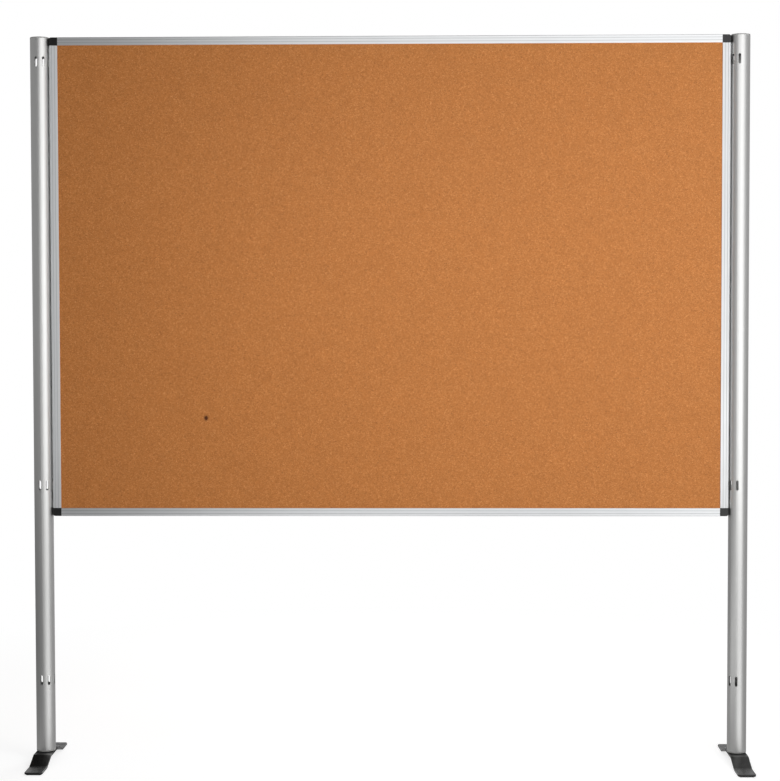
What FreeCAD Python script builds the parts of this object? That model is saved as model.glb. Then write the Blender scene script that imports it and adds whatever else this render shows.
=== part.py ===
import FreeCAD, Part
import Sketcher
import os
import re

# A freestanding pinboard: a framed cork board hung between two slotted tube posts, each on a
# bent steel foot. X runs along the board, Y runs to the back and Z is up. The origin is on the
# floor, midway between the posts. All lengths are in millimetres and all angles in degrees.

Vector = FreeCAD.Vector

# Driving dimensions: name, value and meaning
DIMENSIONS = [
    ("post_height", 1825, "top of the post caps above the floor"),
    ("post_diameter", 48, "outer diameter of the tubes"),
    ("post_wall", 2, "wall of the tubes"),
    ("slot_width", 6.5, "width of the upright slots"),
    ("slot_length", 25, "length of the slots with their round ends"),
    ("slot_pitch", 45, "angle from slot to slot in a ring"),
    ("hook_slot_angle", 13, "slot that takes a hook, turned from the board's middle plane"),
    ("left_slot_count", 6, "slots in each ring of the left post"),
    ("right_slot_count", 4, "slots in each ring of the right post"),
    ("upper_slot_drop", 62, "middle of the upper ring below the post's top"),
    ("middle_slot_rise", 78, "middle of the second ring above the board's lower edge"),
    ("lower_slot_height", 208, "middle of the lowest ring above the floor"),
    ("cap_thickness", 3, "disc of the post caps"),
    ("cap_edge_round", 2, "rounding of the caps' top edge"),
    ("cap_skirt_length", 20, "depth of the caps in the tubes"),
    ("cap_skirt_wall", 2, "wall of the caps' skirts"),
    ("cap_pin_diameter", 2.5, "hole of the nub that locks a cap in its tube"),
    ("cap_pin_drop", 3.5, "middle of that hole below the tube's end"),
    ("cap_pin_setback", 0.3, "end of the nub inside the tube's outer face"),
    ("plug_fit", 0.1, "clearance of caps and plugs in the tube's bore, each side"),
    ("plug_flange", 4, "ring of the base plugs below the tubes"),
    ("plug_edge_round", 0.8, "rounding of the plugs' lower edge"),
    ("plug_length", 35, "depth of the plugs in the tubes"),
    ("swivel_washer_diameter", 44, "thin washer between plug and foot"),
    ("swivel_washer_thickness", 1, "thickness of that washer"),
    ("bolt_diameter", 10, "bolt that holds a foot"),
    ("bolt_head_width", 17, "width across the flats of its head"),
    ("bolt_head_height", 6.4, "height of its head"),
    ("bolt_reach", 30, "length of the bolt above the foot"),
    ("bolt_clearance", 0.05, "clearance round the bolt, each side"),
    ("foot_washer_diameter", 22, "washer under the foot"),
    ("foot_washer_thickness", 2, "thickness of that washer"),
    ("foot_length", 330, "front toe to rear toe"),
    ("foot_width", 45, "width of the steel strip"),
    ("foot_thickness", 5, "thickness of the steel strip"),
    ("foot_arch", 20, "underside of the raised middle above the floor"),
    ("foot_flat_length", 100, "raised flat middle, bend to bend"),
    ("foot_slope_run", 52, "length of each slope, seen from above"),
    ("foot_bend_radius", 10, "inner radius of the bends"),
    ("toe_corner_radius", 8, "corners of the toes"),
    ("foot_edge_round", 1, "rounding of the strip's edges"),
    ("pad_thickness", 2, "floor pads under the toes"),
    ("pad_length", 48, "length of the floor pads"),
    ("pad_inset", 4, "edge of the floor pads inside the toe's edge"),
    ("pad_corner_radius", 4, "corners of the floor pads"),
    ("board_width", 1700, "framed board, outer corner to outer corner"),
    ("board_height", 1200, "framed board, top to bottom"),
    ("board_drop", 1, "top of the framed board below the post's top"),
    ("post_gap", 1, "framed board to tube"),
    ("rail_depth", 26, "rails, front to back"),
    ("side_rail_width", 21, "left and right rails, seen from the front"),
    ("end_rail_width", 20, "top and bottom rails, seen from the front"),
    ("side_rail_round", 4, "outer edges of the side rails"),
    ("end_rail_round", 1.5, "outer edges of the top and bottom rails"),
    ("rail_inner_round", 0.6, "inner edges of all rails"),
    ("rail_wall", 2, "front and rear walls of the rails' chamber"),
    ("rail_web", 1.5, "walls across the rails"),
    ("face_groove_width", 1.2, "pair of fine grooves along each face"),
    ("face_groove_depth", 0.8, "depth of the grooves"),
    ("face_groove_spacing", 7, "groove to groove, middle to middle"),
    ("channel_depth", 8, "channel that holds the board's edge"),
    ("chamber_length", 7, "chamber that holds a corner's leg"),
    ("core_thickness", 15, "soft fibre core of the board"),
    ("cork_thickness", 3, "cork face on each side"),
    ("face_clearance", 0.3, "board to channel wall, front and back"),
    ("edge_clearance", 0.5, "board's edge to the channel's floor"),
    ("corner_overhang", 0.5, "corners beyond the rails' inner edges"),
    ("corner_proud", 0.4, "corners in front of the rails' faces"),
    ("corner_round", 6, "outer corner of the corner pieces"),
    ("corner_edge_round", 1.5, "outer edges of the corner pieces"),
    ("leg_length", 24, "legs of the corner pieces in the rails"),
    ("leg_clearance", 0.2, "leg to chamber wall"),
    ("corner_screw_diameter", 3, "screws through the rails into the legs"),
    ("corner_screw_length", 8, "length below the head"),
    ("corner_screw_head", 6, "diameter of the head"),
    ("corner_screw_rise", 2, "height of the head"),
    ("corner_screw_place", 12, "screw from the rail's end"),
    ("screw_clearance", 0.05, "clearance round every screw, each side"),
    ("hook_thickness", 2, "steel of the hooks"),
    ("hook_plate_width", 18, "hook's plate, front to back"),
    ("hook_neck", 12, "height of the tongue where it goes through its slot"),
    ("hook_drop", 9, "tongue's lip that hangs behind the tube's wall"),
    ("hook_lip_width", 5, "width of that lip"),
    ("hook_lip_chamfer", 1.5, "lead-in at the end of the lip"),
    ("hook_wall_clearance", 0.7, "lip to the inside of the tube"),
    ("hook_seat_clearance", 0.3, "neck to the slot's round end"),
    ("hook_plate_above", 14, "hook's plate above the middle of its neck"),
    ("hook_plate_below", 32, "hook's plate below the middle of its neck"),
    ("hook_channel_fit", 0.2, "hook's plate to the sides of its channel"),
    ("hook_screw_diameter", 4, "countersunk screws of the hooks"),
    ("hook_screw_sink", 1.8, "depth of their heads"),
    ("hook_screw_length", 9, "whole length of those screws"),
    ("hook_screw_upper", 8, "upper screw above the middle of the neck"),
    ("hook_screw_lower", 24, "lower screw below the middle of the neck"),
    ("overrun", 5, "how far every cut runs past its solid"),
]

# Sizes that follow from them
FOLLOWING = [
    ("post_radius", "post_diameter / 2"),
    ("bore_radius", "post_radius - post_wall"),
    ("post_place", "board_width / 2 + post_gap + post_radius"),
    ("foot_top", "foot_arch + foot_thickness"),
    ("plug_base", "foot_top + swivel_washer_thickness"),
    ("tube_base", "plug_base + plug_flange"),
    ("tube_length", "post_height - cap_thickness - tube_base"),
    ("middle_slot_drop", "board_drop + board_height - middle_slot_rise"),
    ("lower_slot_drop", "post_height - lower_slot_height"),
    ("insert_radius", "bore_radius - plug_fit"),
    ("cap_pin_radius", "cap_pin_diameter / 2"),
    ("bolt_radius", "bolt_diameter / 2"),
    ("bolt_hole_radius", "bolt_radius + bolt_clearance"),
    ("foot_half_length", "foot_length / 2"),
    ("foot_flat_half", "foot_flat_length / 2"),
    ("slope_end", "foot_flat_half + foot_slope_run"),
    ("toe_top", "pad_thickness + foot_thickness"),
    ("bend_shift", "foot_thickness * tan(atan((foot_arch - pad_thickness) / foot_slope_run) / 2)"),
    ("board_top", "post_height - board_drop"),
    ("board_bottom", "board_top - board_height"),
    ("rail_half_depth", "rail_depth / 2"),
    ("board_half_thickness", "core_thickness / 2 + cork_thickness"),
    ("channel_half", "board_half_thickness + face_clearance"),
    ("chamber_half", "rail_half_depth - rail_wall"),
    ("chamber_start", "channel_depth + rail_web"),
    ("chamber_end", "chamber_start + chamber_length"),
    ("chamber_middle", "chamber_start + chamber_length / 2"),
    ("hook_channel_start", "chamber_end + rail_web"),
    ("board_bite", "channel_depth - edge_clearance"),
    ("sheet_width", "board_width - 2 * side_rail_width + 2 * board_bite"),
    ("sheet_height", "board_height - 2 * end_rail_width + 2 * board_bite"),
    ("sheet_base", "board_bottom + end_rail_width - board_bite"),
    ("corner_width", "side_rail_width + corner_overhang"),
    ("corner_height", "end_rail_width + corner_overhang"),
    ("side_rail_length", "board_height - 2 * corner_height"),
    ("end_rail_length", "board_width - 2 * corner_width"),
    ("leg_half_depth", "chamber_half - leg_clearance"),
    ("corner_screw_radius", "corner_screw_diameter / 2"),
    ("corner_hole_radius", "corner_screw_radius + screw_clearance"),
    ("hook_screw_radius", "hook_screw_diameter / 2"),
    ("hook_hole_radius", "hook_screw_radius + screw_clearance"),
    ("tongue_offset", "post_radius * sin(hook_slot_angle)"),
    ("tongue_outer", "tongue_offset + hook_thickness / 2"),
    ("tongue_inner", "tongue_offset - hook_thickness / 2"),
    ("hook_channel_half", "hook_plate_width / 2 + hook_channel_fit"),
    ("hook_plate_back", "post_radius + post_gap + side_rail_width - hook_channel_start"),
    ("hook_plate_front", "hook_plate_back - hook_thickness"),
    ("lip_outer", "sqrt(bore_radius ^ 2 - tongue_outer ^ 2) - hook_wall_clearance"),
    ("lip_inner", "lip_outer - hook_lip_width"),
    ("lip_bottom", "hook_neck / 2 + hook_drop"),
    ("slot_radius", "slot_width / 2"),
    ("slot_straight_half", "slot_length / 2 - slot_radius"),
    ("tongue_skew", "tongue_outer * cos(hook_slot_angle) - sqrt(bore_radius ^ 2 - tongue_outer ^ 2)"
                    " * sin(hook_slot_angle)"),
    ("slot_end_rise", "slot_radius - sqrt(slot_radius ^ 2 - tongue_skew ^ 2)"),
    ("seat_height", "hook_seat_clearance + slot_end_rise"),
    ("hook_sink", "slot_length / 2 - seat_height - hook_neck / 2"),
    ("board_lift", "slot_length - 2 * seat_height - hook_neck"),
    ("upper_hook_height", "post_height - upper_slot_drop - hook_sink"),
    ("middle_hook_height", "post_height - middle_slot_drop - hook_sink"),
]

doc = FreeCAD.newDocument("Pinboard")
sheet = doc.addObject("Spreadsheet::Sheet", "Sizes")
NAMES = {entry[0] for entry in DIMENSIONS + FOLLOWING}


def in_sheet(text, prefix="Sizes."):
    """Puts the sheet's name before each of its aliases in an expression."""
    return re.sub(r"[a-z]\w*", lambda word: prefix * (word.group() in NAMES) + word.group(), text)


def fill_sheet():
    """One row for each size: its name, its value or formula, and its meaning."""
    for row, (name, value, meaning) in enumerate(DIMENSIONS, 1):
        sheet.set(f"A{row}", name)
        sheet.set(f"B{row}", str(value))
        sheet.set(f"C{row}", meaning)
        sheet.setAlias(f"B{row}", name)
    for row, (name, formula) in enumerate(FOLLOWING, len(DIMENSIONS) + 1):
        sheet.set(f"A{row}", name)
        sheet.set(f"B{row}", "=" + formula)
        sheet.setAlias(f"B{row}", name)
    doc.recompute()


fill_sheet()


def number(text):
    """The value that an expression in the sheet's names has now."""
    return float(doc.Sizes.evalExpression(in_sheet(text)))


def bind(thing, **expressions):
    """Ties properties to expressions; a double underscore stands for a dot in a property path."""
    for path, text in expressions.items():
        thing.setExpression(path.replace("__", "."), in_sheet(text))


def new_body(label):
    body = doc.addObject("PartDesign::Body", label)
    body.Label = label
    return body


def origin_feature(body, role):
    return next(part for part in body.Origin.OriginFeatures if part.Role == role)


def new_sketch(body, plane, offset=None):
    """A sketch on one of the body's own origin planes, moved along the plane's normal if asked."""
    sketch = body.newObject("Sketcher::SketchObject", "Sketch")
    sketch.AttachmentSupport = [(origin_feature(body, plane), "")]
    sketch.MapMode = "FlatFace"
    if offset:
        bind(sketch, AttachmentOffset__Base__z=offset)
    return sketch


def hold(sketch, kind, geometry, point, text):
    """Holds one coordinate of a point at an expression, measured from the sketch's origin."""
    place = sketch.addConstraint(Sketcher.Constraint(kind, -1, 1, geometry, point, number(text)))
    sketch.setExpression(f"Constraints[{place}]", in_sheet(text))


def outline(sketch, points):
    """A closed outline of straight lines through points given as pairs of expressions."""
    first = sketch.GeometryCount
    values = [Vector(number(x), number(y), 0) for x, y in points]
    for start, end in zip(values, values[1:] + values[:1]):
        sketch.addGeometry(Part.LineSegment(start, end), False)
    for step in range(len(points)):
        following = first + (step + 1) % len(points)
        sketch.addConstraint(Sketcher.Constraint("Coincident", first + step, 2, following, 1))
    for step, (x, y) in enumerate(points):
        hold(sketch, "DistanceX", first + step, 1, x)
        hold(sketch, "DistanceY", first + step, 1, y)


def rectangle(sketch, left, right, low, high):
    outline(sketch, [(left, low), (right, low), (right, high), (left, high)])


def circle(sketch, x, y, radius):
    shape = Part.Circle(Vector(number(x), number(y), 0), Vector(0, 0, 1), number(radius))
    index = sketch.addGeometry(shape, False)
    hold(sketch, "DistanceX", index, 3, x)
    hold(sketch, "DistanceY", index, 3, y)
    place = sketch.addConstraint(Sketcher.Constraint("Radius", index, number(radius)))
    sketch.setExpression(f"Constraints[{place}]", in_sheet(radius))


def pad(body, sketch, length, midplane=False, reverse=False):
    feature = body.newObject("PartDesign::Pad", "Pad")
    feature.Profile = sketch
    feature.Midplane = midplane
    feature.Reversed = reverse
    bind(feature, Length=length)
    doc.recompute()
    return feature


def pocket(body, sketch, length, midplane=False, reverse=False):
    """Cuts a sketch out of the body, and stops if nothing was cut."""
    before = body.Shape.Volume
    feature = body.newObject("PartDesign::Pocket", "Pocket")
    feature.Profile = sketch
    feature.Midplane = midplane
    feature.Reversed = reverse
    bind(feature, Length=length)
    doc.recompute()
    if not body.Shape.Volume < before:
        raise ValueError(f"a pocket of {body.Label} cuts nothing")
    return feature


def turned(body, sketch):
    """A solid of revolution about the sketch's upright axis."""
    feature = body.newObject("PartDesign::Revolution", "Revolution")
    feature.Profile = sketch
    feature.ReferenceAxis = (sketch, ["V_Axis"])
    feature.Angle = 360
    doc.recompute()
    return feature


def soften(body, kind, size, wanted):
    """Rounds or chamfers the edges of the body's tip for which wanted(edge) is true."""
    base = body.Tip
    edges = [f"Edge{i}" for i, edge in enumerate(base.Shape.Edges, 1) if wanted(edge)]
    if not edges:
        raise ValueError(f"no edge to soften on {body.Label}")
    feature = body.newObject(f"PartDesign::{kind}", kind)
    feature.Base = (base, edges)
    bind(feature, **{"Radius" if kind == "Fillet" else "Size": size})
    doc.recompute()
    return feature


def near(value, target):
    tolerance = 1e-4
    return abs(value - target) < tolerance


def straight_along(edge, axis):
    """Whether an edge is a straight line along one of the axes 0, 1 and 2."""
    if edge.Curve.TypeId != "Part::GeomLine":
        return False
    return near(abs(edge.tangentAt(edge.FirstParameter)[axis]), 1)


def place(thing, x="0", y="0", z="0", axis=None, angle=0):
    """Turns a piece about one of its axes and ties its place to expressions."""
    if axis:
        thing.Placement = FreeCAD.Placement(Vector(), FreeCAD.Rotation(axis, angle))
    bind(thing, Placement__Base__x=x, Placement__Base__y=y, Placement__Base__z=z)


X_AXIS = Vector(1, 0, 0)
Y_AXIS = Vector(0, 1, 0)
Z_AXIS = Vector(0, 0, 1)
HALF_TURN = 180
QUARTER_TURN = 90
SIDES = [("left", -1), ("right", 1)]
nodes = []


# The posts

def ring_angle(side, count):
    """Turn that brings a ring's slot to its hook, for a ring whose first slot is at a quarter turn."""
    towards_board = HALF_TURN if side > 0 else 0
    return towards_board - QUARTER_TURN - number(f"slot_pitch * ({count} / 2 - 1) + hook_slot_angle")


def post_tube(name, side, count):
    body = new_body(f"{name}_post_tube")
    section = new_sketch(body, "XY_Plane")
    circle(section, "0", "0", "post_radius")
    circle(section, "0", "0", "bore_radius")
    pad(body, section, "tube_length")
    sides = new_sketch(body, "XZ_Plane")
    ends = new_sketch(body, "XZ_Plane")
    for drop in ("upper_slot_drop", "middle_slot_drop", "lower_slot_drop"):
        middle = f"post_height - {drop} - tube_base"
        rectangle(sides, "-slot_radius", "slot_radius",
                  f"{middle} - slot_straight_half", f"{middle} + slot_straight_half")
        circle(ends, "0", f"{middle} - slot_straight_half", "slot_radius")
        circle(ends, "0", f"{middle} + slot_straight_half", "slot_radius")
    cuts = [pocket(body, sketch, "post_radius + overrun") for sketch in (sides, ends)]
    ring = body.newObject("PartDesign::PolarPattern", "Ring")
    ring.Originals = cuts
    ring.Axis = (origin_feature(body, "Z_Axis"), [""])
    bind(ring, Angle=f"slot_pitch * ({count} - 1)", Occurrences=count)
    body.Tip = ring
    doc.recompute()
    pin_hole = new_sketch(body, "XZ_Plane")
    circle(pin_hole, "0", "tube_length - cap_pin_drop", "cap_pin_radius")
    pocket(body, pin_hole, "post_radius + overrun")
    place(body, f"{side} * post_place", "0", "tube_base", Z_AXIS, ring_angle(side, count))
    nodes.append(body)


def post_cap(name, side, count):
    body = new_body(f"{name}_post_cap")
    section = new_sketch(body, "XZ_Plane")
    outline(section, [
        ("0", "0"),
        ("insert_radius - cap_skirt_wall", "0"),
        ("insert_radius - cap_skirt_wall", "-cap_skirt_length"),
        ("insert_radius", "-cap_skirt_length"),
        ("insert_radius", "0"),
        ("post_radius", "0"),
        ("post_radius", "cap_thickness"),
        ("0", "cap_thickness"),
    ])
    turned(body, section)
    soften(body, "Fillet", "cap_edge_round",
           lambda edge: near(edge.BoundBox.ZMin, number("cap_thickness")))
    nub = new_sketch(body, "XZ_Plane", "-(insert_radius - cap_skirt_wall / 2)")
    circle(nub, "0", "-cap_pin_drop", "cap_pin_radius - plug_fit")
    pad(body, nub, "post_radius - cap_pin_setback - insert_radius + cap_skirt_wall / 2", reverse=True)
    place(body, f"{side} * post_place", "0", "tube_base + tube_length", Z_AXIS,
          ring_angle(side, count))
    nodes.append(body)


def base_plug(name, side):
    body = new_body(f"{name}_base_plug")
    section = new_sketch(body, "XZ_Plane")
    outline(section, [
        ("bolt_hole_radius", "0"),
        ("post_radius", "0"),
        ("post_radius", "plug_flange"),
        ("insert_radius", "plug_flange"),
        ("insert_radius", "plug_flange + plug_length"),
        ("bolt_hole_radius", "plug_flange + plug_length"),
    ])
    turned(body, section)
    soften(body, "Fillet", "plug_edge_round",
           lambda edge: near(edge.BoundBox.ZMax, 0) and near(edge.BoundBox.XMax, number("post_radius")))
    place(body, f"{side} * post_place", "0", "plug_base")
    nodes.append(body)


def washer(label, side, diameter, thickness, base):
    disc = doc.addObject("Part::Cylinder", f"{label}_disc")
    bind(disc, Radius=f"{diameter} / 2", Height=thickness)
    hole = doc.addObject("Part::Cylinder", f"{label}_hole")
    bind(hole, Radius="bolt_hole_radius", Height=f"{thickness} + 2 * overrun")
    bind(hole, Placement__Base__z="-overrun")
    ring = doc.addObject("Part::Cut", label)
    ring.Label = label
    ring.Base = disc
    ring.Tool = hole
    place(ring, f"{side} * post_place", "0", base)
    nodes.append(ring)


def foot_bolt(name, side):
    label = f"{name}_foot_bolt"
    head = doc.addObject("Part::Prism", f"{label}_head")
    head.Polygon = 6
    bind(head, Circumradius="bolt_head_width / 2 / cos(30)", Height="bolt_head_height")
    shank = doc.addObject("Part::Cylinder", f"{label}_shank")
    bind(shank, Radius="bolt_radius")
    bind(shank, Height="bolt_head_height + foot_washer_thickness + foot_thickness + bolt_reach")
    bolt = doc.addObject("Part::Fuse", label)
    bolt.Label = label
    bolt.Base = head
    bolt.Tool = shank
    place(bolt, f"{side} * post_place", "0", "foot_arch - foot_washer_thickness - bolt_head_height")
    nodes.append(bolt)


# The feet

def mirrored_outline(half):
    """An outline symmetric about the upright axis, from its points on the positive side."""
    return half + [(f"-({x})", y) for x, y in reversed(half)]


def foot(name, side):
    body = new_body(f"{name}_foot")
    profile = new_sketch(body, "YZ_Plane")
    outline(profile, mirrored_outline([
        ("foot_flat_half - bend_shift", "foot_arch"),
        ("slope_end - bend_shift", "pad_thickness"),
        ("foot_half_length", "pad_thickness"),
        ("foot_half_length", "toe_top"),
        ("slope_end", "toe_top"),
        ("foot_flat_half", "foot_top"),
    ]))
    pad(body, profile, "foot_width", midplane=True)

    def bend_edges(places):
        spots = [(number(y), number(z)) for y, z in places]
        return lambda edge: straight_along(edge, 0) and any(
            near(abs(edge.CenterOfMass.y), y) and near(edge.CenterOfMass.z, z) for y, z in spots)

    soften(body, "Fillet", "foot_bend_radius", bend_edges([
        ("foot_flat_half - bend_shift", "foot_arch"), ("slope_end", "toe_top")]))
    soften(body, "Fillet", "foot_bend_radius + foot_thickness", bend_edges([
        ("foot_flat_half", "foot_top"), ("slope_end - bend_shift", "pad_thickness")]))
    soften(body, "Fillet", "toe_corner_radius",
           lambda edge: straight_along(edge, 2)
           and near(abs(edge.CenterOfMass.y), number("foot_half_length")))
    half_width = number("foot_width / 2")
    toe_start = number("foot_half_length - toe_corner_radius")
    toe_end = number("foot_half_length")

    def on_rim(edge):
        """Side edges, toe corners and toe ends, but not the lines across the bends."""
        middle = edge.CenterOfMass
        along_side = near(abs(middle.x), half_width) and not straight_along(edge, 2)
        at_toe = abs(middle.y) > toe_start and not straight_along(edge, 2)
        at_toe = at_toe and (near(abs(middle.y), toe_end) or edge.Curve.TypeId == "Part::GeomCircle")
        return along_side or at_toe

    soften(body, "Fillet", "foot_edge_round", on_rim)
    hole = new_sketch(body, "XY_Plane")
    circle(hole, "0", "0", "bolt_hole_radius")
    pocket(body, hole, "foot_top + overrun", reverse=True)
    place(body, f"{side} * post_place")
    nodes.append(body)


def floor_pad(name, side, end, towards):
    body = new_body(f"{name}_{end}_pad")
    section = new_sketch(body, "XY_Plane")
    rectangle(section, "pad_inset - foot_width / 2", "foot_width / 2 - pad_inset",
              "-pad_length / 2", "pad_length / 2")
    pad(body, section, "pad_thickness")
    soften(body, "Fillet", "pad_corner_radius", lambda edge: straight_along(edge, 2))
    place(body, f"{side} * post_place",
          f"{towards} * (foot_half_length - pad_inset - pad_length / 2)")
    nodes.append(body)


# The board's frame

def rail(label, width, outer_round, length, back):
    """An extruded rail: inner edge at x = 0, outer edge at its width, rear face at y times back."""
    body = new_body(label)
    bar = new_sketch(body, "XY_Plane")
    rectangle(bar, "0", width, "-rail_half_depth", "rail_half_depth")
    pad(body, bar, length)
    soften(body, "Fillet", outer_round,
           lambda edge: straight_along(edge, 2) and near(edge.CenterOfMass.x, number(width)))
    soften(body, "Fillet", "rail_inner_round",
           lambda edge: straight_along(edge, 2) and near(edge.CenterOfMass.x, 0))
    hollows = new_sketch(body, "XY_Plane")
    rectangle(hollows, "-overrun", "channel_depth", "-channel_half", "channel_half")
    rectangle(hollows, "chamber_start", "chamber_end", "-chamber_half", "chamber_half")
    rectangle(hollows, "hook_channel_start", f"{width} + overrun",
              "-hook_channel_half", "hook_channel_half")
    for offset in ("-face_groove_spacing / 2", "face_groove_spacing / 2"):
        groove = (f"{width} / 2 + {offset} - face_groove_width / 2",
                  f"{width} / 2 + {offset} + face_groove_width / 2")
        rectangle(hollows, *groove, "rail_half_depth - face_groove_depth", "rail_half_depth + overrun")
        rectangle(hollows, *groove, "-rail_half_depth - overrun", "face_groove_depth - rail_half_depth")
    pocket(body, hollows, f"{length} + overrun", reverse=True)
    screw_holes = new_sketch(body, "XZ_Plane")
    for height in ("corner_screw_place", f"{length} - corner_screw_place"):
        circle(screw_holes, "chamber_middle", height, "corner_hole_radius")
    pocket(body, screw_holes, "rail_half_depth + overrun", reverse=back < 0)
    nodes.append(body)
    return body


def side_rail(name, side):
    """A side rail, with holes for its hooks' screws in the floor of its outer channel."""
    body = rail(f"{name}_rail", "side_rail_width", "side_rail_round", "side_rail_length", side)
    base = "(board_bottom + corner_height)"
    holes = new_sketch(body, "YZ_Plane", "chamber_middle")
    for hook in ("upper_hook_height", "middle_hook_height"):
        circle(holes, "0", f"{hook} + hook_screw_upper - {base}", "hook_hole_radius")
        circle(holes, "0", f"{hook} - hook_screw_lower - {base}", "hook_hole_radius")
    pocket(body, holes, "chamber_length / 2 + rail_web + overrun", reverse=True)
    place(body, f"{side} * (board_width / 2 - side_rail_width)", "0", "board_bottom + corner_height",
          Z_AXIS, 0 if side > 0 else HALF_TURN)


def end_rail(name, up):
    """The top or bottom rail, laid along X with its rear face to the back."""
    body = rail(f"{name}_rail", "end_rail_width", "end_rail_round", "end_rail_length", 1)
    inner_edge = "board_top - end_rail_width" if up > 0 else "board_bottom + end_rail_width"
    place(body, f"{up} * end_rail_length / 2", "0", inner_edge, Y_AXIS, -up * QUARTER_TURN)


def corner_piece(label, side, up, axis):
    """A moulded corner with a leg for each rail and a pocket for the board's corner."""
    body = new_body(label)
    block = new_sketch(body, "XZ_Plane")
    rectangle(block, "-corner_width", "0", "-corner_height", "0")
    pad(body, block, "rail_depth + 2 * corner_proud", midplane=True)
    soften(body, "Fillet", "corner_round",
           lambda edge: straight_along(edge, 1)
           and near(edge.CenterOfMass.x, 0) and near(edge.CenterOfMass.z, 0))
    face = number("rail_half_depth + corner_proud")
    inner_x = number("-corner_width")
    inner_z = number("-corner_height")

    def outer_rim(edge):
        middle = edge.CenterOfMass
        on_face = near(edge.BoundBox.YMin, middle.y) and near(abs(middle.y), face)
        return on_face and not near(middle.x, inner_x) and not near(middle.z, inner_z)

    soften(body, "Fillet", "corner_edge_round", outer_rim)
    across = new_sketch(body, "XZ_Plane")
    rectangle(across, "-corner_width - leg_length", "-corner_width + rail_web",
              "chamber_start - end_rail_width + leg_clearance",
              "chamber_end - end_rail_width - leg_clearance")
    pad(body, across, "2 * leg_half_depth", midplane=True)
    down = new_sketch(body, "XZ_Plane")
    rectangle(down, "chamber_start - side_rail_width + leg_clearance",
              "chamber_end - side_rail_width - leg_clearance",
              "-corner_height - leg_length", "-corner_height + rail_web")
    pad(body, down, "2 * leg_half_depth", midplane=True)
    seat = new_sketch(body, "XZ_Plane")
    rectangle(seat, "-corner_width - overrun", "channel_depth - side_rail_width",
              "-corner_height - overrun", "channel_depth - end_rail_width")
    pocket(body, seat, "2 * channel_half", midplane=True)
    holes = new_sketch(body, "XZ_Plane")
    circle(holes, "-corner_width - corner_screw_place", "chamber_middle - end_rail_width",
           "corner_hole_radius")
    circle(holes, "chamber_middle - side_rail_width", "-corner_height - corner_screw_place",
           "corner_hole_radius")
    pocket(body, holes, "2 * leg_half_depth + overrun", midplane=True)
    height = "board_top" if up > 0 else "board_bottom"
    place(body, f"{side} * board_width / 2", "0", height, axis, HALF_TURN if axis else 0)
    nodes.append(body)


# The board's sheets

def sheet_of(label, thickness, front):
    panel = doc.addObject("Part::Box", label)
    panel.Label = label
    bind(panel, Length="sheet_width", Width=thickness, Height="sheet_height")
    place(panel, "-sheet_width / 2", front, "sheet_base")
    nodes.append(panel)


# The hooks and the screws

def hook(label, side, height):
    """A screwed-on steel plate with one tongue, which goes through a slot and hangs behind it."""
    body = new_body(label)
    plate = new_sketch(body, "XZ_Plane")
    rectangle(plate, "hook_plate_front", "hook_plate_back", "-hook_plate_below", "hook_plate_above")
    pad(body, plate, "hook_plate_width", midplane=True)
    tongue = new_sketch(body, "XZ_Plane", "tongue_inner")
    outline(tongue, [
        ("hook_plate_back", "hook_neck / 2"),
        ("lip_inner", "hook_neck / 2"),
        ("lip_inner", "-lip_bottom"),
        ("lip_outer", "-lip_bottom"),
        ("lip_outer", "-hook_neck / 2"),
        ("hook_plate_back", "-hook_neck / 2"),
    ])
    pad(body, tongue, "tongue_outer - tongue_inner")
    soften(body, "Chamfer", "hook_lip_chamfer",
           lambda edge: straight_along(edge, 1) and near(edge.CenterOfMass.z, number("-lip_bottom")))
    holes = new_sketch(body, "YZ_Plane")
    circle(holes, "0", "hook_screw_upper", "hook_hole_radius")
    circle(holes, "0", "-hook_screw_lower", "hook_hole_radius")
    pocket(body, holes, "hook_plate_back + overrun", reverse=True)
    soften(body, "Chamfer", "hook_screw_sink",
           lambda edge: edge.Curve.TypeId == "Part::GeomCircle"
           and near(edge.CenterOfMass.x, number("hook_plate_front")))
    place(body, f"{side} * post_place", "0", height, Z_AXIS, HALF_TURN if side > 0 else 0)
    nodes.append(body)


def screw(label, points):
    """A screw along -Z with its head's seat or top at z = 0, from its half section."""
    body = new_body(label)
    section = new_sketch(body, "XZ_Plane")
    outline(section, points)
    turned(body, section)
    return body.Shape.copy()


def group(label, shape, spots):
    """Separate copies of one screw in one node, each at a place and with its shank along a way."""
    copies = []
    for spot, way in spots:
        turn = FreeCAD.Rotation(Vector(0, 0, -1), way)
        copy = shape.copy()
        copy.Placement = FreeCAD.Placement(spot, turn)
        copies.append(copy)
    node = doc.addObject("Part::Feature", label)
    node.Label = label
    node.Shape = Part.makeCompound(copies)
    nodes.append(node)


def hook_screws():
    shape = screw("hook_screw", [
        ("0", "0"),
        ("hook_screw_radius + hook_screw_sink", "0"),
        ("hook_screw_radius", "-hook_screw_sink"),
        ("hook_screw_radius", "-hook_screw_length"),
        ("0", "-hook_screw_length"),
    ])
    spots = []
    for _, side in SIDES:
        across = number(f"{side} * (post_place - hook_plate_front)")
        for height in ("upper_hook_height", "middle_hook_height"):
            for offset in ("hook_screw_upper", "-hook_screw_lower"):
                spots.append((Vector(across, 0, number(f"{height} + {offset}")), -side * X_AXIS))
    group("hook_screws", shape, spots)


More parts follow.
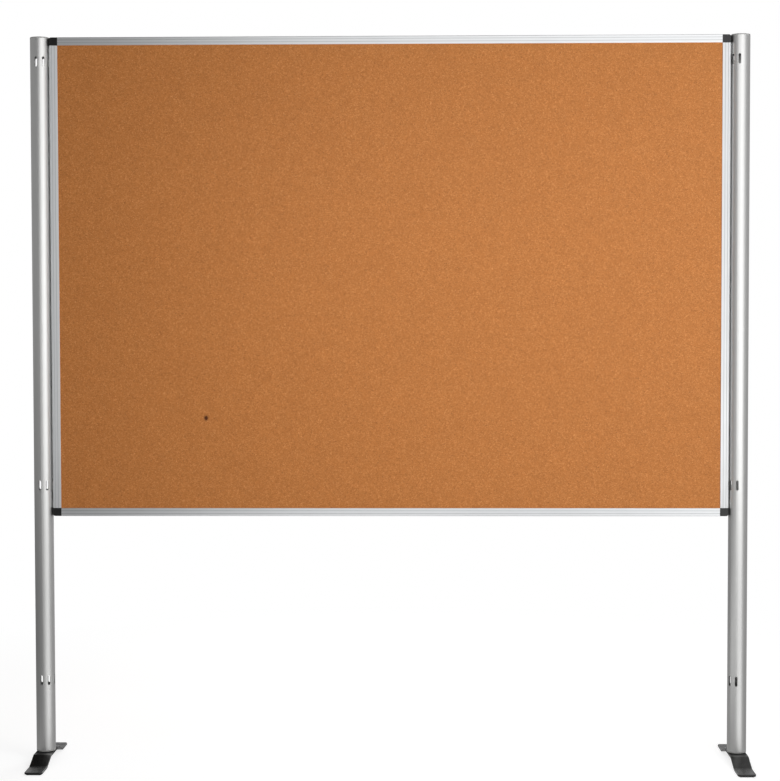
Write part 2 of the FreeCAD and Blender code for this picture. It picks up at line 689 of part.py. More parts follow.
def corner_screws():
    shape = screw("corner_screw", [
        ("0", "corner_screw_rise"),
        ("corner_screw_head / 4", "corner_screw_rise"),
        ("corner_screw_head / 2", "corner_screw_rise / 4"),
        ("corner_screw_head / 2", "0"),
        ("corner_screw_radius", "0"),
        ("corner_screw_radius", "-corner_screw_length"),
        ("0", "-corner_screw_length"),
    ])
    rear = number("rail_half_depth")
    spots = []
    for _, side in SIDES:
        for edge, up in (("board_top", -1), ("board_bottom", 1)):
            along = number(f"{side} * (board_width / 2 - corner_width - corner_screw_place)")
            height = number(f"{edge} + {up} * (end_rail_width - chamber_middle)")
            spots.append((Vector(along, rear, height), -Y_AXIS))
            along = number(f"{side} * (board_width / 2 - side_rail_width + chamber_middle)")
            height = number(f"{edge} + {up} * (corner_height + corner_screw_place)")
            spots.append((Vector(along, rear, height), -Y_AXIS))
    group("corner_screws", shape, spots)


for name, side in SIDES:
    count = f"{name}_slot_count"
    post_tube(name, side, count)
    post_cap(name, side, count)
    base_plug(name, side)
    washer(f"{name}_swivel_washer", side, "swivel_washer_diameter", "swivel_washer_thickness", "foot_top")
    washer(f"{name}_foot_washer", side, "foot_washer_diameter", "foot_washer_thickness",
           "foot_arch - foot_washer_thickness")
    foot_bolt(name, side)
    foot(name, side)
    floor_pad(name, side, "front", -1)
    floor_pad(name, side, "rear", 1)
    side_rail(name, side)
    hook(f"upper_{name}_hook", side, "upper_hook_height")
    hook(f"lower_{name}_hook", side, "middle_hook_height")

end_rail("top", 1)
end_rail("bottom", -1)
corner_piece("top_right_corner", 1, 1, None)
corner_piece("top_left_corner", -1, 1, Z_AXIS)
corner_piece("bottom_right_corner", 1, -1, X_AXIS)
corner_piece("bottom_left_corner", -1, -1, Y_AXIS)
sheet_of("cork_front", "cork_thickness", "-board_half_thickness")
sheet_of("core_board", "core_thickness", "-core_thickness / 2")
sheet_of("cork_back", "cork_thickness", "core_thickness / 2")
hook_screws()
corner_screws()
doc.recompute()

for thing in doc.Objects:
    if "Invalid" in thing.State or "Error" in thing.State:
        raise ValueError(f"{thing.Label} did not build: {thing.State}")
for node in nodes:
    if node.Shape.isNull() or not node.Shape.isValid():
        raise ValueError(f"{node.Label} has no valid shape")

os.makedirs("parts", exist_ok=True)
for node in nodes:
    node.Shape.exportStep(f"parts/{node.Label}.step")
print(len(nodes), "nodes; the board lifts by", round(number("board_lift"), 2), "mm")
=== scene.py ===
import bpy
from math import cos, radians, sin
from mathutils import Matrix, Vector


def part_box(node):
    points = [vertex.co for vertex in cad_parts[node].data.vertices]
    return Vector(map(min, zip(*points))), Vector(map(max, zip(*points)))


# The freestanding pinboard: a cork board in an aluminium frame, hung between two slotted tube
# posts on bent steel feet. X runs along the board, Y runs to the back and Z is up, in metres.

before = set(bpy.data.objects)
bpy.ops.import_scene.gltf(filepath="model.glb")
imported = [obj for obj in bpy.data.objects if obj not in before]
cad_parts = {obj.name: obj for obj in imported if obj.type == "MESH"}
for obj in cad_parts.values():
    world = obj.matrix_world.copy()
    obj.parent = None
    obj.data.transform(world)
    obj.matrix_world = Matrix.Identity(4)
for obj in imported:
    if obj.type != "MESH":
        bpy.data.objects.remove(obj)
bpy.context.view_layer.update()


# Camera

IMAGE_WIDTH = 780
FOCAL_PIXELS = 1879.8
CAMERA_PLACE = Vector((0.0934, -4.7235, 1.1382))
CAMERA_DOWN, CAMERA_RIGHT, CAMERA_ROLL = radians(2.4055), radians(-1.1171), radians(-0.1035)


def aim(place, down, right, roll):
    """The matrix of a thing that looks along +Y, turned to the right, tipped down, then rolled."""
    forward = Vector((sin(right) * cos(down), cos(right) * cos(down), -sin(down)))
    across = Vector((cos(right), -sin(right), 0))
    up = across.cross(forward)
    rolled = [cos(roll) * across + sin(roll) * up, cos(roll) * up - sin(roll) * across, -forward]
    return Matrix.Translation(place) @ Matrix(rolled).transposed().to_4x4()


lens = bpy.data.cameras.new("camera")
lens.sensor_fit = "HORIZONTAL"
lens.sensor_width = 36
lens.lens = FOCAL_PIXELS / IMAGE_WIDTH * lens.sensor_width
camera = bpy.data.objects.new("camera", lens)
camera.matrix_world = aim(CAMERA_PLACE, CAMERA_DOWN, CAMERA_RIGHT, CAMERA_ROLL)
bpy.context.scene.collection.objects.link(camera)
bpy.context.scene.camera = camera


# Shader nodes

def add(tree, kind, inputs=None, **settings):
    """Adds a node, sets its properties, and fills its inputs with numbers, colours or sockets."""
    made = tree.nodes.new("ShaderNode" + kind)
    for name, value in settings.items():
        setattr(made, name, value)
    for name, value in (inputs or {}).items():
        if isinstance(value, bpy.types.NodeSocket):
            tree.links.new(value, made.inputs[name])
        else:
            made.inputs[name].default_value = value
    return made


def ramp(tree, value, stops):
    """A colour ramp with the given (place, grey or colour) stops."""
    made = add(tree, "ValToRGB", {0: value})
    elements = made.color_ramp.elements
    for element, (place, _) in zip(elements, (stops[0], stops[-1])):
        element.position = place
    for place, _ in stops[1:-1]:
        elements.new(place)
    for element, (_, colour) in zip(elements, stops):
        element.color = (*colour, 1) if isinstance(colour, tuple) else (colour, colour, colour, 1)
    return made.outputs["Color"]


def spread(tree, value, low, high, new_low=0.0, new_high=1.0):
    """A value rescaled from one span to another, and held inside the new one."""
    return add(tree, "MapRange", {"Value": value, "From Min": low, "From Max": high,
                                  "To Min": new_low, "To Max": new_high}).outputs["Result"]


def blended(tree, amount, first, second, mode="MIX"):
    """Two colours mixed by an amount."""
    made = add(tree, "Mix", data_type="RGBA", blend_type=mode)
    sockets = made.inputs["Factor"], made.inputs[6], made.inputs[7]
    for socket, value in zip(sockets, (amount, first, second)):
        if isinstance(value, bpy.types.NodeSocket):
            tree.links.new(value, socket)
        else:
            socket.default_value = value
    return made.outputs[2]


def between(tree, amount, first, second):
    """Two values mixed by an amount."""
    made = add(tree, "Mix", {"Factor": amount, "A": first, "B": second}, data_type="FLOAT")
    return made.outputs["Result"]


def math(tree, operation, first, second=0.0):
    """One step of arithmetic on values."""
    return add(tree, "Math", {0: first, 1: second}, operation=operation).outputs["Value"]


def group(name, inputs, outputs):
    """An empty node group with named value or vector inputs and value outputs."""
    tree = bpy.data.node_groups.new(name, "ShaderNodeTree")
    for label, kind, value in inputs:
        socket = tree.interface.new_socket(label, in_out="INPUT", socket_type="NodeSocket" + kind)
        if kind == "Float":
            socket.default_value = value
    for label in outputs:
        tree.interface.new_socket(label, in_out="OUTPUT", socket_type="NodeSocketFloat")
    return tree, tree.nodes.new("NodeGroupInput").outputs, tree.nodes.new("NodeGroupOutput").inputs


def use(tree, effect, inputs):
    """One of the groups, placed in a material with its own values."""
    made = tree.nodes.new("ShaderNodeGroup")
    made.node_tree = effect
    for name, value in inputs.items():
        if isinstance(value, bpy.types.NodeSocket):
            tree.links.new(value, made.inputs[name])
        else:
            made.inputs[name].default_value = value
    return made.outputs


def drawn_lines():
    """Fine lines of drawn or rolled metal: noise stretched along the way the metal ran."""
    tree, given, out = group("drawn lines", [
        ("Vector", "Vector", None), ("Per metre X", "Float", 1000),
        ("Per metre Y", "Float", 1000), ("Per metre Z", "Float", 5)], ["Streaks", "Height"])
    scale = add(tree, "CombineXYZ", {"X": given["Per metre X"], "Y": given["Per metre Y"],
                                     "Z": given["Per metre Z"]}).outputs["Vector"]
    stretched = add(tree, "VectorMath", {0: given["Vector"], 1: scale}, operation="MULTIPLY").outputs[0]
    fine = add(tree, "TexNoise", {"Vector": stretched, "Scale": 1, "Detail": 3}).outputs["Fac"]
    broad = add(tree, "TexNoise", {"Vector": stretched, "Scale": 0.14, "Detail": 2}).outputs["Fac"]
    both = math(tree, "ADD", math(tree, "MULTIPLY", fine, 0.55), math(tree, "MULTIPLY", broad, 0.45))
    tree.links.new(spread(tree, both, 0.3, 0.7), out["Streaks"])
    tree.links.new(fine, out["Height"])
    return tree


def handling():
    """Faint smears and dulled places where a piece is taken hold of."""
    tree, given, out = group("handling", [("Vector", "Vector", None), ("Size", "Float", 0.08)], ["Mask"])
    turns = math(tree, "DIVIDE", 1.0, given["Size"])
    cloud = add(tree, "TexNoise", {"Vector": given["Vector"], "Scale": turns, "Detail": 5,
                                   "Roughness": 0.6, "Distortion": 0.8}).outputs["Fac"]
    tree.links.new(spread(tree, cloud, 0.48, 0.72), out["Mask"])
    return tree


def skin_grain():
    """The fine pebbled skin of moulded plastic, rubber and powder coat."""
    tree, given, out = group("skin grain", [("Vector", "Vector", None), ("Grain", "Float", 0.0006)],
                             ["Height", "Variation"])
    turns = math(tree, "DIVIDE", 1.0, given["Grain"])
    pebbles = add(tree, "TexVoronoi", {"Vector": given["Vector"], "Scale": turns},
                  feature="SMOOTH_F1").outputs["Distance"]
    broad = math(tree, "MULTIPLY", turns, 0.05)
    cloud = add(tree, "TexNoise", {"Vector": given["Vector"], "Scale": broad, "Detail": 4}).outputs["Fac"]
    tree.links.new(pebbles, out["Height"])
    tree.links.new(cloud, out["Variation"])
    return tree


def worn_edges():
    """White on edges and corners, from how far a rounded normal leans from the true one."""
    tree, given, out = group("worn edges", [("Vector", "Vector", None), ("Radius", "Float", 0.001)],
                             ["Edge"])
    rounded = add(tree, "Bevel", {"Radius": given["Radius"]}, samples=6).outputs["Normal"]
    true = add(tree, "NewGeometry").outputs["Normal"]
    lean = add(tree, "VectorMath", {0: rounded, 1: true}, operation="DOT_PRODUCT").outputs["Value"]
    patches = add(tree, "TexNoise", {"Vector": given["Vector"], "Scale": 90, "Detail": 4}).outputs["Fac"]
    broken = math(tree, "MULTIPLY", spread(tree, lean, 0.97, 0.8), spread(tree, patches, 0.42, 0.62))
    tree.links.new(broken, out["Edge"])
    return tree


DRAWN_LINES = drawn_lines()
HANDLING = handling()
SKIN_GRAIN = skin_grain()
WORN_EDGES = worn_edges()


# Finishes

# How far from the middle and how wide the rails' grooves are, and how dark their painted shade is.
GROOVE_FROM_MIDDLE, GROOVE_WIDTH, GROOVE_SHADE = 0.0035, 0.0012, 0.26


def finish(name):
    """A new material: its tree, its shader and the piece's own coordinates."""
    made = bpy.data.materials.new(name)
    made.use_nodes = True
    tree = made.node_tree
    shader = tree.nodes["Principled BSDF"]
    return made, tree, shader, add(tree, "TexCoord").outputs["Object"]


def grooves(tree, place, axis, rails):
    """White in the two narrow grooves of each rail's faces, this far each side of the rail's middle:
    where the rails get painted shade.
    """
    along = math(tree, "ABSOLUTE", add(tree, "SeparateXYZ", {"Vector": place}).outputs[axis])
    nearest = None
    for rail in rails:
        low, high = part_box(rail)
        number = "XYZ".index(axis)
        middle = abs(low[number] + high[number]) / 2
        from_middle = math(tree, "ABSOLUTE", math(tree, "SUBTRACT", along, middle))
        apart = math(tree, "ABSOLUTE", math(tree, "SUBTRACT", from_middle, GROOVE_FROM_MIDDLE))
        nearest = apart if nearest is None else math(tree, "MINIMUM", nearest, apart)
    return spread(tree, nearest, GROOVE_WIDTH * 0.45, GROOVE_WIDTH * 0.9, 1, 0)


def anodised(name, colour, per_metre, grain_axis, roughness, anisotropy, groove_axis=None, rails=()):
    """Satin anodised aluminium whose drawing lines run along one axis, with painted shade down in any
    grooves.
    """
    made, tree, shader, place = finish(name)
    lines = use(tree, DRAWN_LINES, {"Vector": place, "Per metre X": per_metre[0],
                                    "Per metre Y": per_metre[1], "Per metre Z": per_metre[2]})
    touched = use(tree, HANDLING, {"Vector": place, "Size": 0.11})["Mask"]
    dark = tuple(0.93 * c for c in colour)
    light = tuple(min(1.05 * c, 1) for c in colour)
    drawn = ramp(tree, lines["Streaks"], [(0, dark), (1, light)])
    if rails:
        # Painted shade: the colour is darkened down in the grooves, where shadow falls in them.
        groove_shade_mask = grooves(tree, place, groove_axis, rails)
        depth = math(tree, "MULTIPLY", groove_shade_mask, GROOVE_SHADE)
        drawn = blended(tree, depth, drawn, (0.05, 0.05, 0.05, 1))
    tree.links.new(drawn, shader.inputs["Base Color"])
    rough = math(tree, "ADD", spread(tree, lines["Streaks"], 0, 1, roughness - 0.02, roughness + 0.02),
                 math(tree, "MULTIPLY", touched, 0.03))
    tree.links.new(rough, shader.inputs["Roughness"])
    shader.inputs["Metallic"].default_value = 1
    shader.inputs["Anisotropic"].default_value = anisotropy
    normal = add(tree, "NewGeometry").outputs["Normal"]
    across = add(tree, "VectorMath", {0: normal, 1: grain_axis}, operation="CROSS_PRODUCT").outputs[0]
    tree.links.new(across, shader.inputs["Tangent"])
    bump = add(tree, "Bump", {"Height": lines["Height"], "Strength": 0.05, "Distance": 0.0001})
    tree.links.new(bump.outputs["Normal"], shader.inputs["Normal"])
    return made


def moulded(name, colour, roughness, grain, depth):
    """Moulded plastic or rubber with a fine skin and slightly greyed edges."""
    made, tree, shader, place = finish(name)
    skin = use(tree, SKIN_GRAIN, {"Vector": place, "Grain": grain})
    edge = use(tree, WORN_EDGES, {"Vector": place, "Radius": 0.0012})["Edge"]
    plain = ramp(tree, skin["Variation"], [(0.3, tuple(0.85 * c for c in colour)),
                                           (0.7, tuple(1.15 * c for c in colour))])
    worn = tuple(c * 1.3 + 0.02 for c in colour) + (1,)
    colour_out = blended(tree, math(tree, "MULTIPLY", edge, 0.5), plain, worn)
    tree.links.new(colour_out, shader.inputs["Base Color"])
    tree.links.new(spread(tree, skin["Variation"], 0.3, 0.7, roughness - 0.04, roughness + 0.05),
                   shader.inputs["Roughness"])
    bump = add(tree, "Bump", {"Height": skin["Height"], "Strength": 0.25, "Distance": depth})
    tree.links.new(bump.outputs["Normal"], shader.inputs["Normal"])
    return made


def powder_coat():
    """Half-gloss black coat on uneven bent steel: orange peel, knocked edges, and painted shadow with
    duller coat around the post.
    """
    made, tree, shader, place = finish("black powder coat")
    low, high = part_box("left_post_tube")
    post_axis = abs(low[0] + high[0]) / 2
    peel = use(tree, SKIN_GRAIN, {"Vector": place, "Grain": 0.0022})
    edge = use(tree, WORN_EDGES, {"Vector": place, "Radius": 0.0009})["Edge"]
    touched = use(tree, HANDLING, {"Vector": place, "Size": 0.04})["Mask"]
    plain = ramp(tree, peel["Variation"], [(0.3, (0.007, 0.007, 0.007)), (0.7, (0.011, 0.011, 0.010))])
    colour = blended(tree, math(tree, "MULTIPLY", edge, 0.35), plain, (0.09, 0.085, 0.08, 1))
    way = add(tree, "SeparateXYZ", {"Vector": place}).outputs
    from_axis = math(tree, "SUBTRACT", math(tree, "ABSOLUTE", way["X"]), post_axis)
    flat = add(tree, "CombineXYZ", {"X": from_axis, "Y": way["Y"]}).outputs["Vector"]
    away = add(tree, "VectorMath", {0: flat}, operation="LENGTH").outputs["Value"]
    # Painted shadow of the post on the foot: the coat is darkened close around the post's axis, and made
    # duller there as well.
    post_shadow_and_dullness = spread(tree, away, 0.030, 0.052, 1, 0)
    colour = blended(tree, post_shadow_and_dullness, colour, (0.004, 0.004, 0.004, 1))
    tree.links.new(colour, shader.inputs["Base Color"])
    rough = math(tree, "ADD", spread(tree, touched, 0, 1, 0.2, 0.3),
                 math(tree, "MULTIPLY", post_shadow_and_dullness, 0.5))
    tree.links.new(rough, shader.inputs["Roughness"])
    shader.inputs["Specular IOR Level"].default_value = 0.4
    shader.inputs["Coat Weight"].default_value = 0.15
    shader.inputs["Coat Roughness"].default_value = 0.25
    bends = add(tree, "TexNoise", {"Vector": place, "Scale": 42, "Detail": 1}).outputs["Fac"]
    uneven = add(tree, "Bump", {"Height": bends, "Strength": 1, "Distance": 0.0009}).outputs["Normal"]
    bump = add(tree, "Bump", {"Height": peel["Height"], "Strength": 0.12, "Distance": 0.0002,
                              "Normal": uneven})
    tree.links.new(bump.outputs["Normal"], shader.inputs["Normal"])
    return made


def zinc_plate():
    """Bright zinc on bolts, washers, screws and hooks, a little cloudy."""
    made, tree, shader, place = finish("bright zinc plate")
    cloud = use(tree, HANDLING, {"Vector": place, "Size": 0.012})["Mask"]
    lines = use(tree, DRAWN_LINES, {"Vector": place, "Per metre X": 900, "Per metre Y": 900,
                                    "Per metre Z": 900})
    tree.links.new(ramp(tree, cloud, [(0, (0.62, 0.62, 0.60)), (1, (0.48, 0.50, 0.52))]),
                   shader.inputs["Base Color"])
    tree.links.new(spread(tree, lines["Streaks"], 0, 1, 0.26, 0.4), shader.inputs["Roughness"])
    shader.inputs["Metallic"].default_value = 1
    bump = add(tree, "Bump", {"Height": lines["Height"], "Strength": 0.08, "Distance": 0.0001})
    tree.links.new(bump.outputs["Normal"], shader.inputs["Normal"])
    return made


KNOT_X, KNOT_Z, KNOT_RADIUS = -0.4605, 0.8722, 0.0058
PLAIN_CORK = (0.530, 0.188, 0.043)
COARSE, MEDIUM, FINE, BARK = 230, 480, 1250, 170    # grains per metre


def cork_face():
    """Fine ground cork: pressed grains of several browns, dark seams, bark specks and one knot."""
    made, tree, shader, place = finish("fine ground cork")
    warp = add(tree, "TexNoise", {"Vector": place, "Scale": 420, "Detail": 2}).outputs["Color"]
    offset = add(tree, "VectorMath", {0: warp, 1: (0.002, 0.002, 0.002)},
                 operation="MULTIPLY").outputs[0]
    bent = add(tree, "VectorMath", {0: place, 1: offset}, operation="ADD").outputs[0]
    layers = []
    for grains, dark, light in [
            (COARSE, (0.405, 0.133, 0.029), (0.690, 0.283, 0.080)),
            (MEDIUM, (0.286, 0.091, 0.017), (0.764, 0.349, 0.116)),
            (FINE, (0.306, 0.098, 0.020), (0.726, 0.322, 0.101))]:
        cell = add(tree, "TexVoronoi", {"Vector": bent, "Scale": grains}).outputs
        tone = add(tree, "SeparateColor", {"Color": cell["Color"]}).outputs["Red"]
        stops = [(0.0, dark), (0.3, PLAIN_CORK), (0.7, PLAIN_CORK), (1.0, light)]
        layers.append(ramp(tree, tone, stops))
    colour = blended(tree, 0.56, layers[0], layers[1])
    colour = blended(tree, 0.3, colour, layers[2])
    cloud = add(tree, "TexNoise", {"Vector": place, "Scale": 26, "Detail": 5,
                                   "Roughness": 0.65}).outputs["Fac"]
    colour = blended(tree, 1.0, colour, ramp(tree, cloud, [(0.3, 0.92), (0.7, 1.0)]), "MULTIPLY")
    seams = add(tree, "TexVoronoi", {"Vector": bent, "Scale": MEDIUM}, feature="DISTANCE_TO_EDGE").outputs
    seam = spread(tree, seams["Distance"], 0.0, 0.09, 1, 0)
    colour = blended(tree, math(tree, "MULTIPLY", seam, 0.26), colour, (0.27, 0.088, 0.018, 1))
    bark = add(tree, "TexVoronoi", {"Vector": bent, "Scale": BARK}).outputs
    bark_tone = add(tree, "SeparateColor", {"Color": bark["Color"]}).outputs["Blue"]
    chosen = math(tree, "LESS_THAN", bark_tone, 0.09)
    speck = math(tree, "MULTIPLY", chosen, spread(tree, bark["Distance"], 0.15, 0.36, 1, 0))
    colour = blended(tree, math(tree, "MULTIPLY", speck, 0.42), colour, (0.20, 0.066, 0.018, 1))
    knot_place = (KNOT_X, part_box("cork_front")[0][1], KNOT_Z)
    from_knot = add(tree, "VectorMath", {0: bent, 1: knot_place}, operation="SUBTRACT").outputs[0]
    flat = add(tree, "VectorMath", {0: from_knot, 1: (1.0, 1.0, 0.8)}, operation="MULTIPLY").outputs[0]
    away = add(tree, "VectorMath", {0: flat}, operation="LENGTH").outputs["Value"]
    halo = spread(tree, away, KNOT_RADIUS * 0.6, KNOT_RADIUS * 1.6, 1, 0)
    colour = blended(tree, math(tree, "MULTIPLY", halo, 0.45), colour, (0.24, 0.085, 0.022, 1))
    knot = spread(tree, away, KNOT_RADIUS * 0.5, KNOT_RADIUS, 1, 0)
    colour = blended(tree, math(tree, "MULTIPLY", knot, 0.96), colour, (0.060, 0.010, 0.001, 1))
    tree.links.new(colour, shader.inputs["Base Color"])
    tree.links.new(spread(tree, seams["Distance"], 0, 0.4, 0.72, 0.6), shader.inputs["Roughness"])
    shader.inputs["Specular IOR Level"].default_value = 0.3
    relief = math(tree, "ADD", spread(tree, seams["Distance"], 0.0, 0.15),
                  math(tree, "MULTIPLY", knot, -2.5))
    bump = add(tree, "Bump", {"Height": relief, "Strength": 0.35, "Distance": 0.0003})
    tree.links.new(bump.outputs["Normal"], shader.inputs["Normal"])
    return made


def fibre_core():
    """Soft pressed wood fibre, seen only if the frame is taken apart."""
    made, tree, shader, place = finish("pressed fibre")
    fibres = use(tree, DRAWN_LINES, {"Vector": place, "Per metre X": 260, "Per metre Y": 900,
                                     "Per metre Z": 420})
    tree.links.new(ramp(tree, fibres["Streaks"], [(0, (0.26, 0.17, 0.09)), (1, (0.46, 0.34, 0.2))]),
                   shader.inputs["Base Color"])
    tree.links.new(spread(tree, fibres["Streaks"], 0, 1, 0.85, 0.95), shader.inputs["Roughness"])
    bump = add(tree, "Bump", {"Height": fibres["Height"], "Strength": 0.4, "Distance": 0.0004})
    tree.links.new(bump.outputs["Normal"], shader.inputs["Normal"])
    return made


UPRIGHT = (0, 0, 1)
LEVEL = (1, 0, 0)
POST_FINISH = anodised("satin anodised tube", (0.74, 0.74, 0.73), (1100, 1100, 4), UPRIGHT, 0.42, 0.15)
SIDE_RAIL_FINISH = anodised("satin anodised upright rail", (0.76, 0.77, 0.78), (1600, 1600, 5), UPRIGHT,
                            0.42, 0.85, "X", ["left_rail", "right_rail"])
END_RAIL_FINISH = anodised("satin anodised level rail", (0.77, 0.78, 0.79), (5, 1600, 1600), LEVEL,
                           0.46, 0.4, "Z", ["top_rail", "bottom_rail"])
GREY_PLASTIC = moulded("grey moulded plastic", (0.42, 0.42, 0.41), 0.5, 0.0007, 0.0001)
BLACK_PLASTIC = moulded("black moulded plastic", (0.006, 0.006, 0.0065), 0.34, 0.0008, 0.0001)
BLACK_NYLON = moulded("black nylon", (0.016, 0.016, 0.016), 0.5, 0.0006, 0.00005)
RUBBER = moulded("black rubber", (0.02, 0.02, 0.02), 0.75, 0.001, 0.0002)
POWDER_COAT = powder_coat()
ZINC = zinc_plate()
CORK = cork_face()
CORE = fibre_core()

FINISH_OF = [
    (POST_FINISH, ["left_post_tube", "right_post_tube"]),
    (SIDE_RAIL_FINISH, ["left_rail", "right_rail"]),
    (END_RAIL_FINISH, ["top_rail", "bottom_rail"]),
    (GREY_PLASTIC, ["left_post_cap", "right_post_cap", "left_base_plug", "right_base_plug"]),
    (BLACK_PLASTIC, ["top_left_corner", "top_right_corner",
                     "bottom_left_corner", "bottom_right_corner"]),
    (BLACK_NYLON, ["left_swivel_washer", "right_swivel_washer"]),
    (RUBBER, ["left_front_pad", "left_rear_pad", "right_front_pad", "right_rear_pad"]),
    (POWDER_COAT, ["left_foot", "right_foot"]),
    (ZINC, ["left_foot_bolt", "right_foot_bolt", "left_foot_washer", "right_foot_washer",
            "upper_left_hook", "upper_right_hook", "lower_left_hook", "lower_right_hook",
            "hook_screws", "corner_screws"]),
    (CORK, ["cork_front", "cork_back"]),
    (CORE, ["core_board"]),
]
for material, names in FINISH_OF:
    for name in names:
        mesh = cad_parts[name].data
        mesh.materials.clear()
        mesh.materials.append(material)


# Studio

FLOOR_HALF = 12.0
FLOOR_GLOW, FADE_START, FADE_END = 0.76, 1.2, 2.4
ROOM_LIGHT = 0.21       # what the surroundings give to dull things
WHITE = (1, 1, 1, 1)


def floor_glow_in_metal(tree, place):
    """How bright the floor glows for metal to reflect, a painted reflection: dim, with a bright painted
    patch in front of and beside each post.
    """
    low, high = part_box("right_post_tube")
    post_x = (low[0] + high[0]) / 2
    way = add(tree, "SeparateXYZ", {"Vector": place}).outputs
    base = spread(tree, way["X"], -1.9, -0.6, 0.14, 0.35)
    ahead = math(tree, "MAXIMUM", math(tree, "MULTIPLY", way["Y"], -1.0), 0.05)
    from_left = math(tree, "DIVIDE", math(tree, "ADD", way["X"], post_x), ahead)
    from_right = math(tree, "DIVIDE", math(tree, "SUBTRACT", way["X"], post_x), ahead)
    # The sheet is a painted reflection: a patch of floor glow that the metal shows as its highlight.
    sheet = math(tree, "MULTIPLY", spread(tree, from_left, 0.0, 0.6),
                 spread(tree, from_right, 0.9, 1.4, 1, 0))
    parted = math(tree, "MAXIMUM", spread(tree, way["X"], -0.05, 0.35, 1, 0),
                  spread(tree, from_right, -0.5, 0.25))
    sheet = math(tree, "MULTIPLY", sheet, parted)
    sheet = math(tree, "MULTIPLY", sheet, spread(tree, way["Y"], -0.22, -0.03, 1.02, 0))
    distant = spread(tree, way["Y"], -3.5, -2.0, 0.15, 0)
    return math(tree, "ADD", base, math(tree, "MAXIMUM", sheet, distant))


def floor():
    """A pale floor that keeps the shadow and fades into white away from the object."""
    mesh = bpy.data.meshes.new("floor")
    corners = [(-FLOOR_HALF, -FLOOR_HALF, 0), (FLOOR_HALF, -FLOOR_HALF, 0),
               (FLOOR_HALF, FLOOR_HALF, 0), (-FLOOR_HALF, FLOOR_HALF, 0)]
    mesh.from_pydata(corners, [], [(0, 1, 2, 3)])
    piece = bpy.data.objects.new("floor", mesh)
    bpy.context.scene.collection.objects.link(piece)
    material, tree, shader, place = finish("pale floor")
    shader.inputs["Roughness"].default_value = 0.9
    shader.inputs["Specular IOR Level"].default_value = 0.1
    mottle = add(tree, "TexNoise", {"Vector": place, "Scale": 3, "Detail": 3}).outputs["Fac"]
    tree.links.new(ramp(tree, mottle, [(0.3, 0.80), (0.7, 0.82)]), shader.inputs["Base Color"])
    rays = add(tree, "LightPath").outputs
    seen = math(tree, "MAXIMUM", rays["Is Camera Ray"], rays["Is Transmission Ray"])
    away = add(tree, "VectorMath", {0: place}, operation="LENGTH").outputs["Value"]
    far = spread(tree, away, FADE_START, FADE_END)
    paper = add(tree, "BsdfDiffuse", {"Color": (0.42, 0.42, 0.42, 1)})
    glow = add(tree, "Emission", {"Color": WHITE, "Strength": FLOOR_GLOW})
    white = add(tree, "Emission", {"Color": WHITE, "Strength": 1.0})
    lifted = add(tree, "AddShader", {0: paper.outputs[0], 1: glow.outputs[0]})
    faded = add(tree, "MixShader", {0: far, 1: lifted.outputs[0], 2: white.outputs[0]})
    # To gloss rays the floor glows instead, as a painted reflection for the metal, with no lamp there.
    dim = add(tree, "Emission", {"Color": WHITE, "Strength": floor_glow_in_metal(tree, place)})
    shown = add(tree, "MixShader", {0: seen, 1: shader.outputs[0], 2: faded.outputs[0]})
    shown = add(tree, "MixShader", {0: rays["Is Glossy Ray"], 1: shown.outputs[0], 2: dim.outputs[0]})
    tree.links.new(shown.outputs[0], tree.nodes["Material Output"].inputs["Surface"])
    mesh.materials.append(material)


def lamp(name, place, target, width, height, power, mirrored=True, lights=True):
    """A soft rectangular lamp that faces a point. It may be kept out of gloss, or show in gloss alone."""
    light = bpy.data.lights.new(name, "AREA")
    light.shape = "RECTANGLE"
    light.size, light.size_y = width, height
    light.energy = power
    made = bpy.data.objects.new(name, light)
    way = Vector(target) - Vector(place)
    made.matrix_world = Matrix.Translation(place) @ way.to_track_quat("-Z", "Y").to_matrix().to_4x4()
    made.visible_camera = False
    made.visible_glossy = mirrored
    made.visible_diffuse = lights
    bpy.context.scene.collection.objects.link(made)


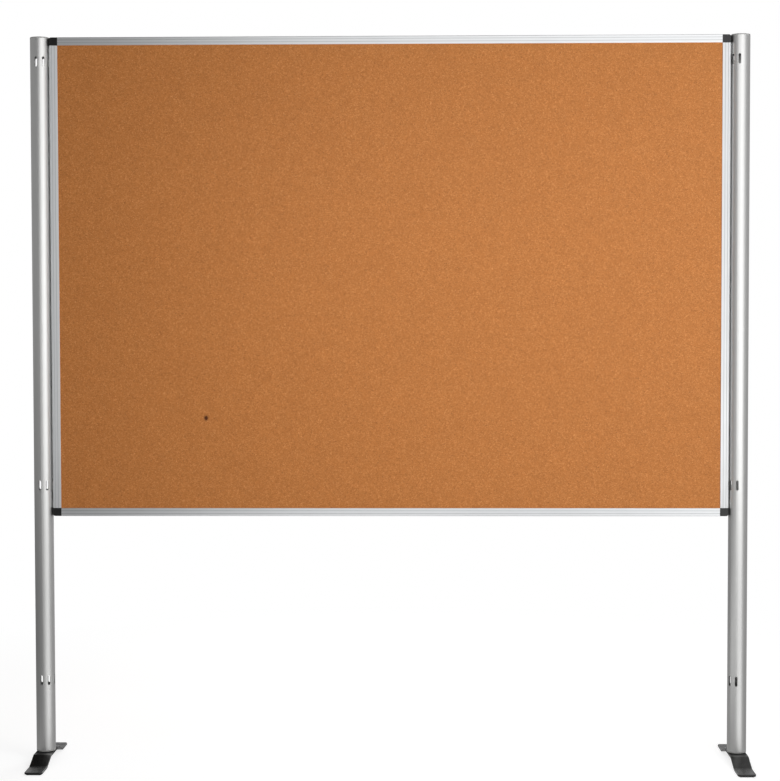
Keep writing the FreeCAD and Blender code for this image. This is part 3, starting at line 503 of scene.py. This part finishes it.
def surroundings():
    """White for the camera; to metal, a dim room with a low pale screen behind the board."""
    world = bpy.data.worlds.new("studio")
    bpy.context.scene.world = world
    world.use_nodes = True
    tree = world.node_tree
    tree.nodes.clear()
    rays = add(tree, "LightPath").outputs
    way = add(tree, "SeparateXYZ", {"Vector": add(tree, "TexCoord").outputs["Generated"]}).outputs
    screen = math(tree, "MULTIPLY", spread(tree, way["Y"], 0.80, 0.93),
                  spread(tree, way["Z"], 0.08, 0.2, 1, 0))
    height = spread(tree, way["Z"], -1, 1)
    left = ramp(tree, height, [(0.40, 0.15), (0.5, 0.50), (0.58, 0.34)])
    room = between(tree, spread(tree, way["X"], -0.95, 0.3), left, 0.44)
    unlit = math(tree, "MULTIPLY", spread(tree, way["Y"], -0.97, -0.86, 1, 0),
                 spread(tree, way["X"], -0.08, 0.06, 1, 0))
    room = math(tree, "MULTIPLY", room, spread(tree, unlit, 0, 1, 1, 0.4))
    ceiling = spread(tree, way["X"], -0.1, 0.12, 0.03, 0.52)
    room = between(tree, spread(tree, way["Z"], 0.25, 0.5), room, ceiling)
    mirrored = math(tree, "ADD", room, math(tree, "MULTIPLY", screen, 0.6))
    seen = math(tree, "MAXIMUM", rays["Is Camera Ray"], rays["Is Transmission Ray"])
    strength = between(tree, rays["Is Glossy Ray"], ROOM_LIGHT, mirrored)
    strength = between(tree, seen, strength, 1.0)
    background = add(tree, "Background", {"Color": WHITE, "Strength": strength})
    output = add(tree, "OutputWorld")
    tree.links.new(background.outputs[0], output.inputs["Surface"])


floor()
surroundings()
lamp("key", (1.3, -2.3, 1.4), (0.3, 0.0, 1.3), 3.1, 2.2, 28, mirrored=False)
lamp("sheet", (0.475, -1.415, 1.55), (-0.3, 0.0, 1.55), 2.56, 2.1, 17.7, lights=False)
lamp("middle", (-0.22, -0.9, 1.2), (-0.22, 0.0, 1.2), 0.4, 0.4, 1.2, mirrored=False)
lamp("top", (1.0, -1.8, 1.5), (0.7, 0.0, 1.2), 1.0, 1.0, 16.5, mirrored=False)
lamp("fill", (-2.6, -3.0, 1.4), (0.0, 0.0, 1.1), 1.6, 2.0, 4.9, mirrored=False)
lamp("back", (0.0, 2.6, 1.65), (0.0, 0.0, 1.2), 1.8, 1.7, 25)
lamp("rear", (0.5, 2.3, 1.4), (0.1, 0.0, 1.2), 1.4, 1.4, 11, mirrored=False)
bpy.context.scene.view_settings.view_transform = "Standard"
